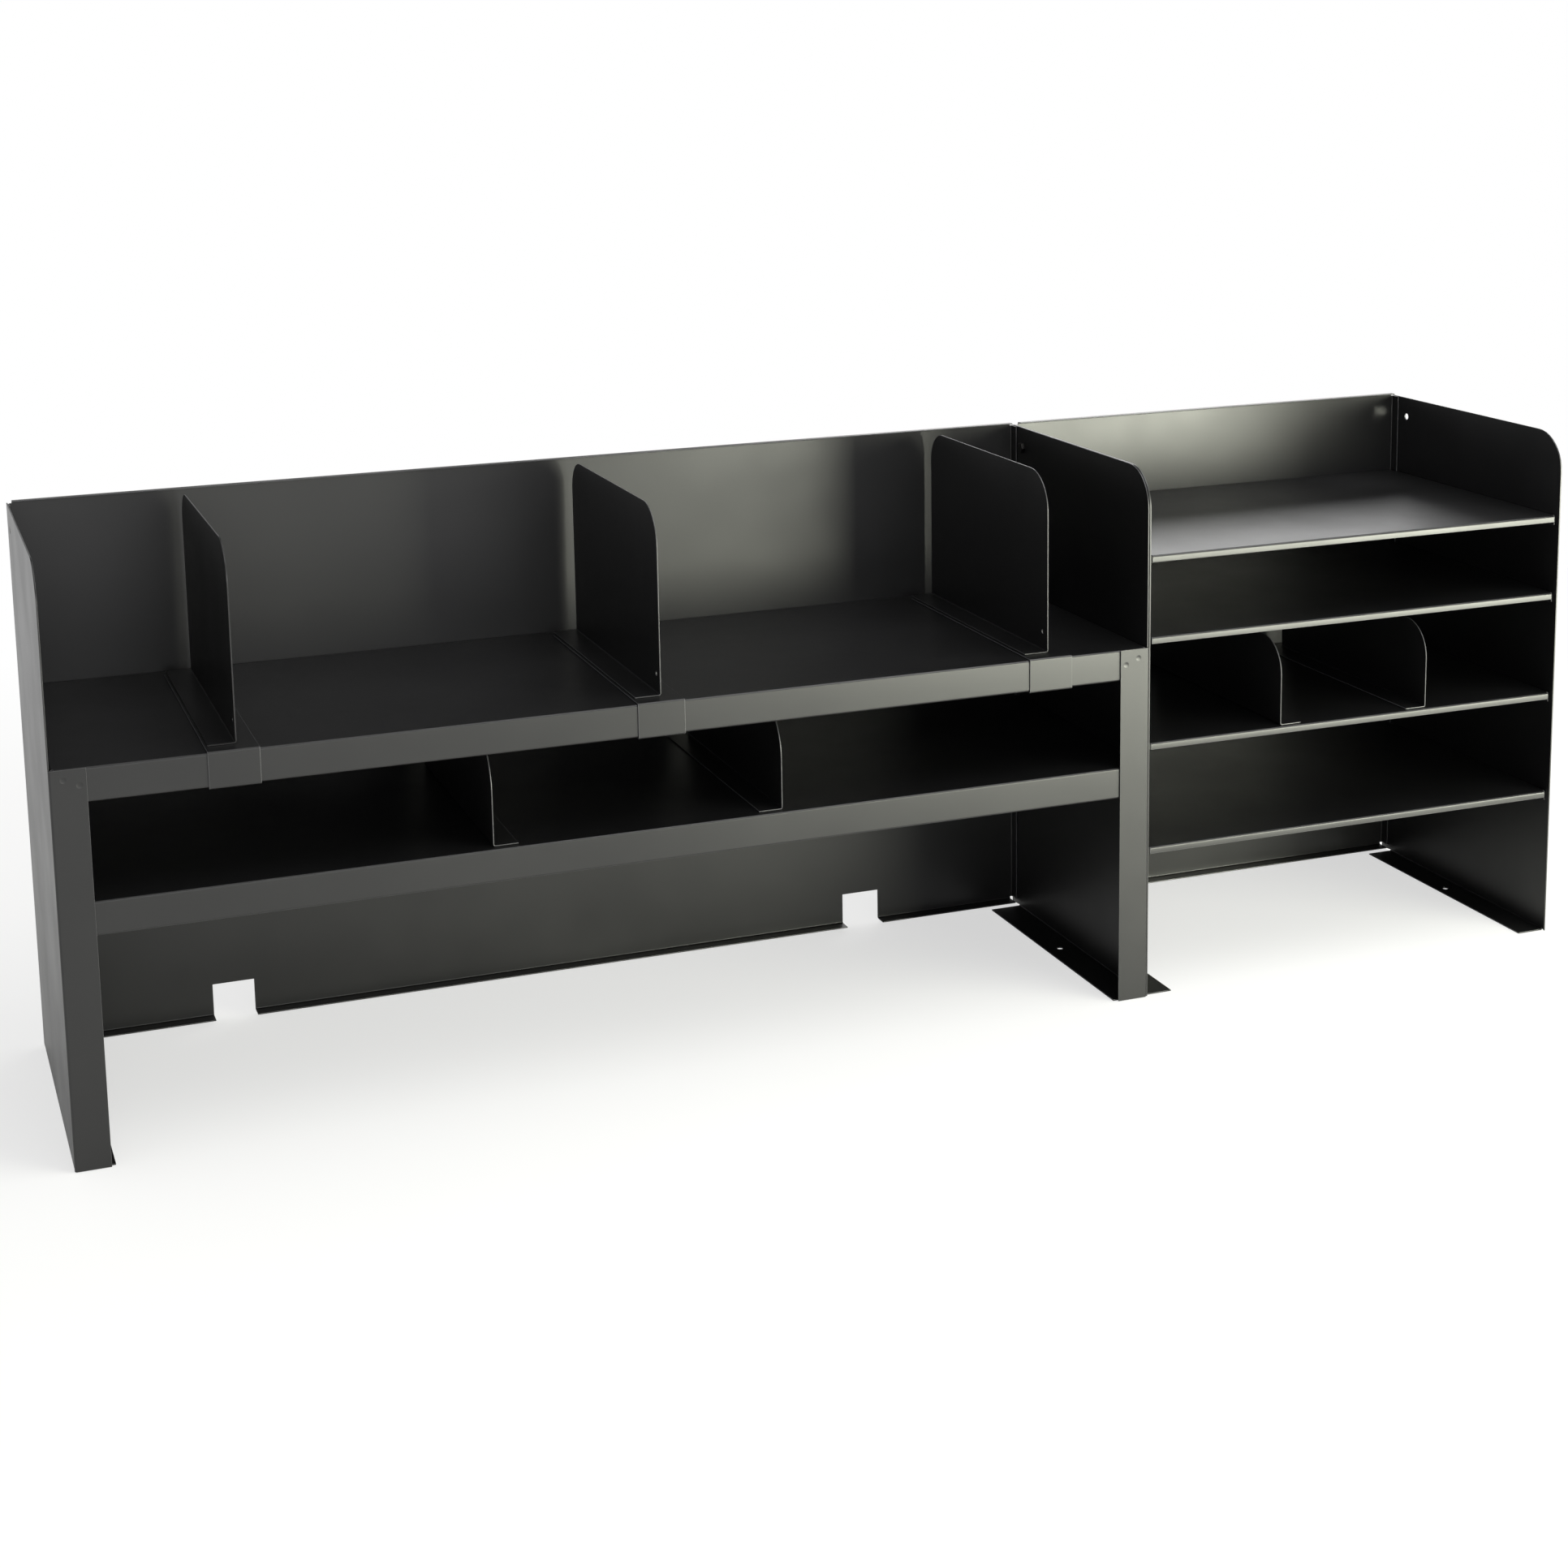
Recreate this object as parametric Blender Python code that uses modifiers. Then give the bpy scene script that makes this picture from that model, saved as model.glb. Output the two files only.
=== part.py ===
"""Desktop file sorter: a raised shelf unit ganged to a letter tray unit, in folded sheet steel.

Metres, +Z up, +X to the right seen from the front, front facing -Y.
The origin is the middle of the footprint, on the desk.
"""

import math

import bmesh
import bpy
from mathutils import Matrix, Vector

# Overall sizes
SHELF_UNIT_WIDTH = 0.995
TRAY_UNIT_WIDTH = 0.4565
DEPTH = 0.2945
HEIGHT = 0.515

# Sheet metal
SHEET = 0.0012
DIVIDER_SHEET = 0.001
BEND_RADIUS = 0.0015
BEND_STEPS = 3
CORNER_RELIEF = 0.0024
FIT = 0.0003

# End panels
PANEL_TOP_DROP = 0.0025
WING_SETBACK = 0.0024
WING_CORNER_RADIUS = 0.038
CORNER_STEPS = 10
POST_WIDTH = 0.030
FOOT_WIDTH = 0.0335
FOOT_FRONT = 0.004
FOOT_BACK_GAP = 0.0172
TRAY_PANEL_FRONT = 0.0015
TRAY_FOOT_WIDTH = 0.029

# Back panels
BACK_BOTTOM = 0.0033
BACK_TOP_RETURN = 0.008
BACK_BOTTOM_FLANGE = 0.015
BACK_SIDE_FLANGE = 0.012
NOTCH_WIDTH = 0.039
NOTCH_TOP = 0.0346
NOTCH_INSET = 0.1565

# Shelves of the raised unit
UPPER_SHELF_TOP = 0.344
LOWER_SHELF_TOP = 0.2305
LIP_DEPTH = 0.0296
LIP_RETURN = 0.008
SHELF_SIDE_FLANGE = 0.012
SHELF_REAR_FLANGE = 0.012

# Letter trays, from the top down
TRAY_1_TOP = 0.4306
TRAY_2_TOP = 0.3524
TRAY_3_TOP = 0.2499
TRAY_4_TOP = 0.1476
TRAY_SETBACK = 0.003
TRAY_LIP = 0.0072
TRAY_SIDE_FLANGE = 0.010
TRAY_REAR_FLANGE = 0.010

# Sliding dividers of the upper shelf
SLIDER_1_FROM_LEFT = 0.1526
SLIDER_2_PAST_MIDDLE = 0.024
SLIDER_3_FROM_RIGHT = 0.0973
CLIP_WIDTH = 0.043
CLIP_HOOK = 0.006
BLADE_FROM_CLIP_LEFT = 0.026
BASE_BACK_GAP = 0.020
BLADE_FLANGE = 0.024
BLADE_FRONT = 0.0165
BLADE_BACK_GAP = 0.0125
BLADE_TOP_DROP = 0.001
BLADE_FRONT_RADIUS = 0.036
BLADE_BACK_RADIUS = 0.028
BLADE_HOLE = 0.004
BLADE_HOLE_IN = 0.010
BLADE_HOLE_UP = 0.018

# Fixed dividers of the lower shelf and of the third tray, in pairs with their feet turned inward
LOWER_DIVIDER_FROM_END = 0.365
LOWER_DIVIDER_RADIUS = 0.048
TRAY_DIVIDER_FROM_SIDE = 0.1468
TRAY_DIVIDER_RADIUS = 0.034
FIXED_FLANGE = 0.0225
FIXED_FRONT = 0.008
FIXED_BACK_GAP = 0.020
FIXED_HEAD_ROOM = 0.0175
FIXED_BACK_RADIUS = 0.006

# Ganging bolt and the holes for it
BOLT_HOLE = 0.0068
BOLT_SHANK = 0.006
BOLT_HEAD_ACROSS = 0.010
BOLT_HEAD_THICK = 0.004
BOLT_TAIL = 0.002
BOLT_FROM_BACK = 0.0259
BOLT_FROM_TOP = 0.0228
NUT_BORE_CLEARANCE = 0.0003
NUT_THICK = 0.005
ROUND_SIDES = 24

# Desk screw holes in the feet
FOOT_HOLE = 0.006
FOOT_HOLE_FROM_EDGE = 0.0186
FOOT_HOLE_FROM_FRONT = 0.1475

# How far a cutter runs past the sheet that it cuts
CUT_OVERRUN = 0.002

HALF = SHEET / 2
DIVIDER_HALF = DIVIDER_SHEET / 2
TOTAL_WIDTH = SHELF_UNIT_WIDTH + FIT + TRAY_UNIT_WIDTH
LEFT = -TOTAL_WIDTH / 2
SEAM_LEFT = LEFT + SHELF_UNIT_WIDTH
SEAM_RIGHT = SEAM_LEFT + FIT
RIGHT = LEFT + TOTAL_WIDTH
FRONT = -DEPTH / 2
BACK = DEPTH / 2
PANEL_TOP = HEIGHT - PANEL_TOP_DROP
LIP_FRONT = FRONT + SHEET + FIT
BACK_FACE = BACK - SHEET
SHELF_UNIT_MIDDLE = LEFT + SHELF_UNIT_WIDTH / 2

# Finishes
POWDER_COAT_COLOUR = (0.018, 0.018, 0.019, 1.0)
POWDER_COAT_ROUGHNESS = 0.45
BLACK_OXIDE_COLOUR = (0.035, 0.035, 0.036, 1.0)
BLACK_OXIDE_ROUGHNESS = 0.35

# Directions, and the greatest angle between faces that shade as one round surface
ACROSS = Vector((1, 0, 0))
UP = Vector((0, 0, 1))
QUARTER_TURN = math.radians(90)
SMOOTH_ANGLE = math.radians(30)
FLAT_ANGLE = math.radians(1)
HEX_SIDES = 6


def clear_scene():
    """Remove every object of the scene."""
    for item in list(bpy.data.objects):
        bpy.data.objects.remove(item, do_unlink=True)


def new_collection(name):
    """Add a collection to the scene."""
    group = bpy.data.collections.new(name)
    bpy.context.scene.collection.children.link(group)
    return group


def paint(name, colour, roughness, metallic):
    """Make a plain Principled material."""
    material = bpy.data.materials.new(name)
    material.use_nodes = True
    shader = material.node_tree.nodes["Principled BSDF"]
    shader.inputs["Base Color"].default_value = colour
    shader.inputs["Roughness"].default_value = roughness
    shader.inputs["Metallic"].default_value = metallic
    return material


class Workshop:
    """The collections and materials that the pieces share."""

    def __init__(self):
        self.parts = new_collection("desktop_file_sorter")
        self.cutters = new_collection("cutters")

    def coated(self, name, mesh):
        """Place a powder coated mesh among the parts."""
        return self.keep(name, mesh, paint(name + "_coat", POWDER_COAT_COLOUR, POWDER_COAT_ROUGHNESS, 0.0))

    def blackened(self, name, mesh):
        """Place a mesh of black oxide steel among the parts."""
        return self.keep(name, mesh, paint(name + "_oxide", BLACK_OXIDE_COLOUR, BLACK_OXIDE_ROUGHNESS, 1.0))

    def keep(self, name, mesh, material):
        """Place a mesh among the parts, with its own material."""
        part = bpy.data.objects.new(name, mesh)
        mesh.materials.append(material)
        self.parts.objects.link(part)
        return part

    def slide(self, name, place, pieces):
        """Hang pieces, left where they are, on an empty that slides along X."""
        carrier = bpy.data.objects.new(name, None)
        carrier.location = place
        self.parts.objects.link(carrier)
        for piece in pieces:
            piece.parent = carrier
            piece.matrix_parent_inverse = Matrix.Translation(-place)

    def cutter(self, name, mesh):
        """Place a mesh among the cutters."""
        tool = bpy.data.objects.new(name, mesh)
        tool.hide_render = True
        tool.display_type = "WIRE"
        self.cutters.objects.link(tool)
        return tool


def mesh_from(bm, name):
    """Turn a bmesh into a mesh with consistent normals."""
    bmesh.ops.recalc_face_normals(bm, faces=bm.faces)
    mesh = bpy.data.meshes.new(name)
    bm.to_mesh(mesh)
    bm.free()
    return mesh


def blank(low, high):
    """Start a flat sheet between two corners of the u, v plane."""
    bm = bmesh.new()
    bmesh.ops.create_grid(bm, x_segments=1, y_segments=1, size=0.5)
    size = (high[0] - low[0], high[1] - low[1], 1.0)
    middle = ((low[0] + high[0]) / 2, (low[1] + high[1]) / 2, 0.0)
    bmesh.ops.scale(bm, vec=size, verts=bm.verts)
    bmesh.ops.translate(bm, vec=middle, verts=bm.verts)
    return bm


def score(bm, axis, value):
    """Split the sheet along the line where u (axis 0) or v (axis 1) has a value."""
    normal = Vector((0.0, 0.0, 0.0))
    normal[axis] = 1.0
    geometry = bm.verts[:] + bm.edges[:] + bm.faces[:]
    bmesh.ops.bisect_plane(bm, geom=geometry, plane_co=normal * value, plane_no=normal, dist=1e-7)


def cut_away(bm, inside):
    """Delete the faces whose middle lies where the test says."""
    doomed = [face for face in bm.faces if inside(face.calc_center_median())]
    bmesh.ops.delete(bm, geom=doomed, context="FACES")


def edges_at(bm, axis, value, low=-math.inf, high=math.inf):
    """Find the edges on one line of the flat sheet, between two values along it."""
    along = 1 - axis
    near = 1e-6
    found = []
    for edge in bm.edges:
        on_line = all(abs(v.co[axis] - value) < near and abs(v.co.z) < near for v in edge.verts)
        middle = (edge.verts[0].co[along] + edge.verts[1].co[along]) / 2
        if on_line and low < middle < high:
            found.append(edge)
    return found


def fold(bm, edges, offset):
    """Extrude edges into a flange and return its free edges."""
    grown = bmesh.ops.extrude_edge_only(bm, edges=edges)["geom"]
    verts = [item for item in grown if isinstance(item, bmesh.types.BMVert)]
    bmesh.ops.translate(bm, vec=offset, verts=verts)
    moved = set(verts)
    return [e for e in grown if isinstance(e, bmesh.types.BMEdge) and moved.issuperset(e.verts)]


def round_corner(bm, u, v, radius):
    """Round one corner of the flat sheet."""
    place = Vector((u, v, 0.0))
    corner = min(bm.verts, key=lambda vert: (vert.co - place).length)
    bmesh.ops.bevel(bm, geom=[corner], offset=radius, segments=CORNER_STEPS, profile=0.5,
                    affect="VERTICES")


def bend(bm):
    """Give every fold its bend radius, measured at the middle of the sheet."""
    bmesh.ops.dissolve_limit(bm, angle_limit=FLAT_ANGLE, verts=bm.verts, edges=bm.edges)
    folds = [e for e in bm.edges if len(e.link_faces) == 2 and e.calc_face_angle() > FLAT_ANGLE]
    bmesh.ops.bevel(bm, geom=folds, offset=BEND_RADIUS, segments=BEND_STEPS, profile=0.5,
                    affect="EDGES")


def notch_corners(bm, low, high, relief):
    """Cut a square relief out of each corner of a blank, so that its four flanges can fold."""
    lines = ((0, low[0] + relief), (0, high[0] - relief), (1, low[1] + relief), (1, high[1] - relief))
    for axis, value in lines:
        score(bm, axis, value)

    def in_corner(middle):
        outside_u = not low[0] + relief < middle.x < high[0] - relief
        outside_v = not low[1] + relief < middle.y < high[1] - relief
        return outside_u and outside_v

    cut_away(bm, in_corner)


def sheet_part(shop, name, bm, placement, thickness=SHEET):
    """Place a folded sheet, thicken it about its middle and keep it as a part."""
    bend(bm)
    part = shop.coated(name, mesh_from(bm, name))
    part.matrix_basis = placement
    wall = part.modifiers.new("wall", "SOLIDIFY")
    wall.thickness = thickness
    wall.offset = 0.0
    wall.use_even_offset = True
    return part


def upright(x):
    """Turn u to the depth, v to the height and folds to the right of a panel at x."""
    return Matrix.Translation((x, 0, 0)) @ Matrix.Rotation(QUARTER_TURN, 4, "Z") @ facing_front(0)


def facing_front(y):
    """Leave u along the width and turn v to the height and folds to the front of a panel at y."""
    return Matrix.Translation((0, y, 0)) @ Matrix.Rotation(QUARTER_TURN, 4, "X")


def level(z):
    """Leave u along the width and v along the depth of a shelf at z."""
    return Matrix.Translation((0, 0, z))


def cut(shop, part, name, mesh):
    """Cut a part with a mesh that is kept among the cutters."""
    tool = shop.cutter(name, mesh)
    change = part.modifiers.new(name, "BOOLEAN")
    change.operation = "DIFFERENCE"
    change.solver = "EXACT"
    change.object = tool
    return tool


def rod_mesh(name, diameter, start, length, direction, sides=ROUND_SIDES):
    """Make a capped rod from its start along one direction."""
    bm = bmesh.new()
    radius = diameter / 2
    bmesh.ops.create_cone(bm, cap_ends=True, segments=sides, radius1=radius, radius2=radius, depth=length)
    turn = UP.rotation_difference(direction).to_matrix()
    bmesh.ops.rotate(bm, cent=(0, 0, 0), matrix=turn, verts=bm.verts)
    bmesh.ops.translate(bm, vec=start + direction * (length / 2), verts=bm.verts)
    rod = mesh_from(bm, name)
    rod.shade_smooth()
    rod.set_sharp_from_angle(angle=SMOOTH_ANGLE)
    return rod


def box_mesh(name, low, high):
    """Make a box between two corners."""
    bm = bmesh.new()
    bmesh.ops.create_cube(bm, size=1.0)
    bmesh.ops.scale(bm, vec=high - low, verts=bm.verts)
    bmesh.ops.translate(bm, vec=(low + high) / 2, verts=bm.verts)
    return mesh_from(bm, name)


def end_panel(shop, name, outer, toward, front, foot_width, post_width=0.0):
    """Make an upright panel with a rounded wing, a foot flange and, on the shelf unit, a front post."""
    web_front = front + HALF if post_width else front
    bm = blank((web_front, HALF), (BACK, PANEL_TOP))
    foot_start = front + FOOT_FRONT
    foot_end = BACK - FOOT_BACK_GAP
    wing_front = web_front
    if post_width:
        wing_front = front + WING_SETBACK
        score(bm, 1, UPPER_SHELF_TOP)
        score(bm, 0, wing_front)
        cut_away(bm, lambda middle: middle.x < wing_front and middle.y > UPPER_SHELF_TOP)
    round_corner(bm, wing_front, PANEL_TOP, WING_CORNER_RADIUS)
    score(bm, 0, foot_start)
    score(bm, 0, foot_end)
    fold(bm, edges_at(bm, 1, HALF, foot_start, foot_end), (0, 0, toward * (foot_width - HALF)))
    if post_width:
        post_edges = edges_at(bm, 0, web_front, HALF, UPPER_SHELF_TOP)
        fold(bm, post_edges, (0, 0, toward * (post_width - HALF)))
    panel = sheet_part(shop, name, bm, upright(outer + toward * HALF))
    through = SHEET + 2 * CUT_OVERRUN
    inward = ACROSS * toward
    gang_start = Vector((outer, BACK - BOLT_FROM_BACK, HEIGHT - BOLT_FROM_TOP)) - inward * CUT_OVERRUN
    cut(shop, panel, name + "_gang_hole", rod_mesh("gang_hole", BOLT_HOLE, gang_start, through, inward))
    foot_x = outer + toward * FOOT_HOLE_FROM_EDGE
    foot_start = Vector((foot_x, FRONT + FOOT_HOLE_FROM_FRONT, -CUT_OVERRUN))
    cut(shop, panel, name + "_foot_hole", rod_mesh("foot_hole", FOOT_HOLE, foot_start, through, UP))
    return panel


def back_panel(shop, name, left, right):
    """Make a back panel between two end panels, flanged forward on all four sides."""
    low = (left + SHEET + FIT + HALF, BACK_BOTTOM + HALF)
    high = (right - SHEET - FIT - HALF, HEIGHT - HALF)
    bm = blank(low, high)
    notch_corners(bm, low, high, CORNER_RELIEF)
    fold(bm, edges_at(bm, 1, high[1]), (0, 0, BACK_TOP_RETURN - HALF))
    fold(bm, edges_at(bm, 1, low[1]), (0, 0, BACK_BOTTOM_FLANGE - HALF))
    fold(bm, edges_at(bm, 0, low[0]), (0, 0, BACK_SIDE_FLANGE - HALF))
    fold(bm, edges_at(bm, 0, high[0]), (0, 0, BACK_SIDE_FLANGE - HALF))
    return sheet_part(shop, name, bm, facing_front(BACK - HALF))


def cable_notch(shop, panel, name, left):
    """Cut a cable notch up through the bottom flange of a back panel."""
    low = Vector((left, BACK - BACK_BOTTOM_FLANGE - CUT_OVERRUN, BACK_BOTTOM - CUT_OVERRUN))
    high = Vector((left + NOTCH_WIDTH, BACK + CUT_OVERRUN, NOTCH_TOP))
    cut(shop, panel, name, box_mesh(name, low, high))


def shelf(shop, name, left, right, front, top, lip, lip_return, side_flange, rear_flange):
    """Make a shelf between two end panels, with a front lip and flanges turned down."""
    side_gap = SHEET + FIT + HALF
    low = (left + side_gap, front + HALF)
    high = (right - side_gap, BACK_FACE - FIT - HALF)
    relief = max(CORNER_RELIEF, BACK_SIDE_FLANGE + FIT)
    bm = blank(low, high)
    notch_rear_corners(bm, low, high, relief)
    free = fold(bm, edges_at(bm, 1, low[1]), (0, 0, SHEET - lip))
    if lip_return:
        fold(bm, free, (0, lip_return - HALF, 0))
    fold(bm, edges_at(bm, 1, high[1]), (0, 0, HALF - rear_flange))
    fold(bm, edges_at(bm, 0, low[0]), (0, 0, HALF - side_flange))
    fold(bm, edges_at(bm, 0, high[0]), (0, 0, HALF - side_flange))
    return sheet_part(shop, name, bm, level(top - HALF))


def notch_rear_corners(bm, low, high, rear_relief):
    """Cut the small front reliefs and the rear ones that clear the back panel's side flanges."""
    side = CORNER_RELIEF
    lines = ((0, low[0] + side), (0, high[0] - side), (1, low[1] + side), (1, high[1] - rear_relief))
    for axis, value in lines:
        score(bm, axis, value)

    def in_corner(middle):
        outside_u = not low[0] + side < middle.x < high[0] - side
        outside_v = not low[1] + side < middle.y < high[1] - rear_relief
        return outside_u and outside_v

    cut_away(bm, in_corner)


def blade(shop, name, x, low, high, front_radius, back_radius, flange, toward):
    """Make an upright divider with rounded top corners, standing on a flange turned to one side."""
    front, bottom = low
    back, top = high
    foot = bottom + DIVIDER_HALF
    bm = blank((front, foot), high)
    round_corner(bm, front, top, front_radius)
    round_corner(bm, back, top, back_radius)
    fold(bm, edges_at(bm, 1, foot), (0, 0, toward * (flange - DIVIDER_HALF)))
    return sheet_part(shop, name, bm, upright(x), DIVIDER_SHEET)


def clip_base(shop, name, left):
    """Make a sliding base: a strip on the shelf that hooks down over the front lip and under it."""
    front = LIP_FRONT - FIT - DIVIDER_HALF
    strip = UPPER_SHELF_TOP + FIT + DIVIDER_HALF
    hook = UPPER_SHELF_TOP - LIP_DEPTH - FIT - DIVIDER_HALF
    bm = blank((left, front), (left + CLIP_WIDTH, BACK - BASE_BACK_GAP))
    free = fold(bm, edges_at(bm, 1, front), (0, 0, hook - strip))
    fold(bm, free, (0, CLIP_HOOK - DIVIDER_HALF, 0))
    return sheet_part(shop, name, bm, level(strip), DIVIDER_SHEET)


def sliding_divider(shop, number, x):
    """Make one sliding divider: the clip base and the blade that stands on it."""
    base = clip_base(shop, f"divider_base_{number}", x - BLADE_FROM_CLIP_LEFT)
    low = (FRONT + BLADE_FRONT, UPPER_SHELF_TOP + FIT + DIVIDER_SHEET + FIT)
    high = (BACK - BLADE_BACK_GAP, HEIGHT - BLADE_TOP_DROP)
    name = f"divider_blade_{number}"
    piece = blade(shop, name, x, low, high, BLADE_FRONT_RADIUS, BLADE_BACK_RADIUS, BLADE_FLANGE, -1)
    through = DIVIDER_SHEET + 2 * CUT_OVERRUN
    hole_start = Vector((x - through / 2, low[0] + BLADE_HOLE_IN, low[1] + BLADE_HOLE_UP))
    hole = rod_mesh("blade_hole", BLADE_HOLE, hole_start, through, ACROSS)
    tool = cut(shop, piece, name + "_hole", hole)
    shop.slide(f"divider_{number}_slide", Vector((x, LIP_FRONT, UPPER_SHELF_TOP)), (base, piece, tool))


def fixed_divider(shop, name, x, floor, ceiling, front_radius, toward):
    """Make one fixed divider between a shelf and the one above it."""
    low = (FRONT + FIXED_FRONT, floor + FIT)
    high = (BACK - FIXED_BACK_GAP, ceiling - SHEET - FIXED_HEAD_ROOM)
    blade(shop, name, x, low, high, front_radius, FIXED_BACK_RADIUS, FIXED_FLANGE, toward)


def fixed_pair(shop, name, places, floor, ceiling, front_radius):
    """Make two fixed dividers whose feet turn toward each other."""
    for number, (x, toward) in enumerate(zip(places, (1, -1)), start=1):
        fixed_divider(shop, f"{name}_{number}", x, floor, ceiling, front_radius, toward)


def shelf_unit(shop):
    """Make the raised shelf unit on the left."""
    end_panel(shop, "shelf_unit_left_panel", LEFT, 1, FRONT, FOOT_WIDTH, POST_WIDTH)
    end_panel(shop, "shelf_unit_right_panel", SEAM_LEFT, -1, FRONT, FOOT_WIDTH, POST_WIDTH)
    panel = back_panel(shop, "shelf_unit_back_panel", LEFT, SEAM_LEFT)
    cable_notch(shop, panel, "left_cable_notch", LEFT + NOTCH_INSET)
    cable_notch(shop, panel, "right_cable_notch", SEAM_LEFT - NOTCH_INSET - NOTCH_WIDTH)
    for name, top in (("upper_shelf", UPPER_SHELF_TOP), ("lower_shelf", LOWER_SHELF_TOP)):
        shelf(shop, name, LEFT, SEAM_LEFT, LIP_FRONT, top, LIP_DEPTH, LIP_RETURN,
              SHELF_SIDE_FLANGE, SHELF_REAR_FLANGE)
    sliding_divider(shop, 1, LEFT + SLIDER_1_FROM_LEFT)
    sliding_divider(shop, 2, SHELF_UNIT_MIDDLE + SLIDER_2_PAST_MIDDLE)
    sliding_divider(shop, 3, SEAM_LEFT - SLIDER_3_FROM_RIGHT)
    places = (LEFT + LOWER_DIVIDER_FROM_END, SEAM_LEFT - LOWER_DIVIDER_FROM_END)
    fixed_pair(shop, "lower_divider", places, LOWER_SHELF_TOP, UPPER_SHELF_TOP, LOWER_DIVIDER_RADIUS)


def tray_unit(shop):
    """Make the letter tray unit on the right."""
    front = FRONT + TRAY_PANEL_FRONT
    end_panel(shop, "tray_unit_left_panel", SEAM_RIGHT, 1, front, TRAY_FOOT_WIDTH)
    end_panel(shop, "tray_unit_right_panel", RIGHT, -1, front, TRAY_FOOT_WIDTH)
    back_panel(shop, "tray_unit_back_panel", SEAM_RIGHT, RIGHT)
    for number, top in enumerate((TRAY_1_TOP, TRAY_2_TOP, TRAY_3_TOP, TRAY_4_TOP), start=1):
        shelf(shop, f"letter_tray_{number}", SEAM_RIGHT, RIGHT, front + TRAY_SETBACK, top, TRAY_LIP, 0.0,
              TRAY_SIDE_FLANGE, TRAY_REAR_FLANGE)
    places = (SEAM_RIGHT + TRAY_DIVIDER_FROM_SIDE, RIGHT - TRAY_DIVIDER_FROM_SIDE)
    fixed_pair(shop, "tray_divider", places, TRAY_3_TOP, TRAY_2_TOP, TRAY_DIVIDER_RADIUS)


def ganging_bolt(shop):
    """Make the hex bolt and nut that hold the two units together."""
    y = BACK - BOLT_FROM_BACK
    z = HEIGHT - BOLT_FROM_TOP
    grip_start = SEAM_LEFT - SHEET - FIT
    grip_end = SEAM_RIGHT + SHEET + FIT
    corner_to_corner = BOLT_HEAD_ACROSS / math.cos(math.pi / HEX_SIDES)
    head_start = Vector((grip_start - BOLT_HEAD_THICK, y, z))
    head = rod_mesh("ganging_bolt", corner_to_corner, head_start, BOLT_HEAD_THICK, ACROSS, HEX_SIDES)
    bolt = shop.blackened("ganging_bolt", head)
    shank_start = head_start + ACROSS * (BOLT_HEAD_THICK / 2)
    shank_length = grip_end + NUT_THICK + BOLT_TAIL - shank_start.x
    shank_mesh = rod_mesh("bolt_shank", BOLT_SHANK, shank_start, shank_length, ACROSS)
    shank = shop.cutter("bolt_shank", shank_mesh)
    join = bolt.modifiers.new("shank", "BOOLEAN")
    join.operation = "UNION"
    join.solver = "EXACT"
    join.object = shank
    nut_start = Vector((grip_end, y, z))
    body = rod_mesh("ganging_nut", corner_to_corner, nut_start, NUT_THICK, ACROSS, HEX_SIDES)
    nut = shop.blackened("ganging_nut", body)
    bore_start = nut_start - ACROSS * CUT_OVERRUN
    bore_size = BOLT_SHANK + 2 * NUT_BORE_CLEARANCE
    bore = rod_mesh("nut_bore", bore_size, bore_start, NUT_THICK + 2 * CUT_OVERRUN, ACROSS)
    cut(shop, nut, "nut_bore", bore)


def main():
    """Model the whole sorter."""
    clear_scene()
    shop = Workshop()
    shelf_unit(shop)
    tray_unit(shop)
    ganging_bolt(shop)


main()
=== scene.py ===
"""Looks of a desktop file sorter in black powder-coated sheet steel.

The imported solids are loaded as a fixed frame. Each folded sheet gets a dressed copy with rounded
sheet edges and a satin powder coat, the posts get the dimples of their spot welds, and the bolt and
nut that gang the two units together are modelled in full. The studio and the camera come last.
"""

import logging
import math
from contextlib import contextmanager
from dataclasses import dataclass, field
from enum import Enum
from typing import Callable, Iterator, Optional, Sequence

import bmesh
import bpy
from mathutils import Matrix, Vector

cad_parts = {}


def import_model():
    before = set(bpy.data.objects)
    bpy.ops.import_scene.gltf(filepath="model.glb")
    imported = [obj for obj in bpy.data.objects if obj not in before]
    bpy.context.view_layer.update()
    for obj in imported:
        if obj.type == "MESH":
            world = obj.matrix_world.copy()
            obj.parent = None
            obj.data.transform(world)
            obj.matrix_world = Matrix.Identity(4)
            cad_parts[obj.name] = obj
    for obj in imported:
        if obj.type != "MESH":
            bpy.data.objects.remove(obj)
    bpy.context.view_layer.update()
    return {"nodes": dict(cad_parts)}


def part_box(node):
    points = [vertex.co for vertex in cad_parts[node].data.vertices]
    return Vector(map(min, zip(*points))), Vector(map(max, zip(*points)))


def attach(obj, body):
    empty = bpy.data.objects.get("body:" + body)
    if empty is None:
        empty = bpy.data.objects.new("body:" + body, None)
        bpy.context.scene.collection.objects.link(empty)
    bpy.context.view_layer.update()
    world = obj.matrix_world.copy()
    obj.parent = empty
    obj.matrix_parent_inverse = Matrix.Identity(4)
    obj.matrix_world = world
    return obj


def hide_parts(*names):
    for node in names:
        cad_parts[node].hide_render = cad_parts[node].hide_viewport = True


LOG = logging.getLogger("file_sorter")

MM = 0.001
SENSOR_WIDTH = 36.0
FRAME_BODY = "frame"
DIVIDER_NUMBERS = (1, 2, 3)
WHITE = (1.0, 1.0, 1.0, 1.0)

# Edges shorter than this are merged away after an edge is rounded.
SLIVER = 0.004 * MM
ROUND_SEGMENTS = 2

# The material slot of a sheet's rounded edges, which carries their painted highlight, and Blender's
# sign for the slot of their neighbours.
EDGE_HIGHLIGHT_SLOT = 1
NEIGHBOUR_SLOT = -1

# Places of the colour sockets on a Mix node, whose names repeat for every kind of data.
MIX_FIRST = 6
MIX_SECOND = 7
MIX_RESULT = 2


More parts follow.
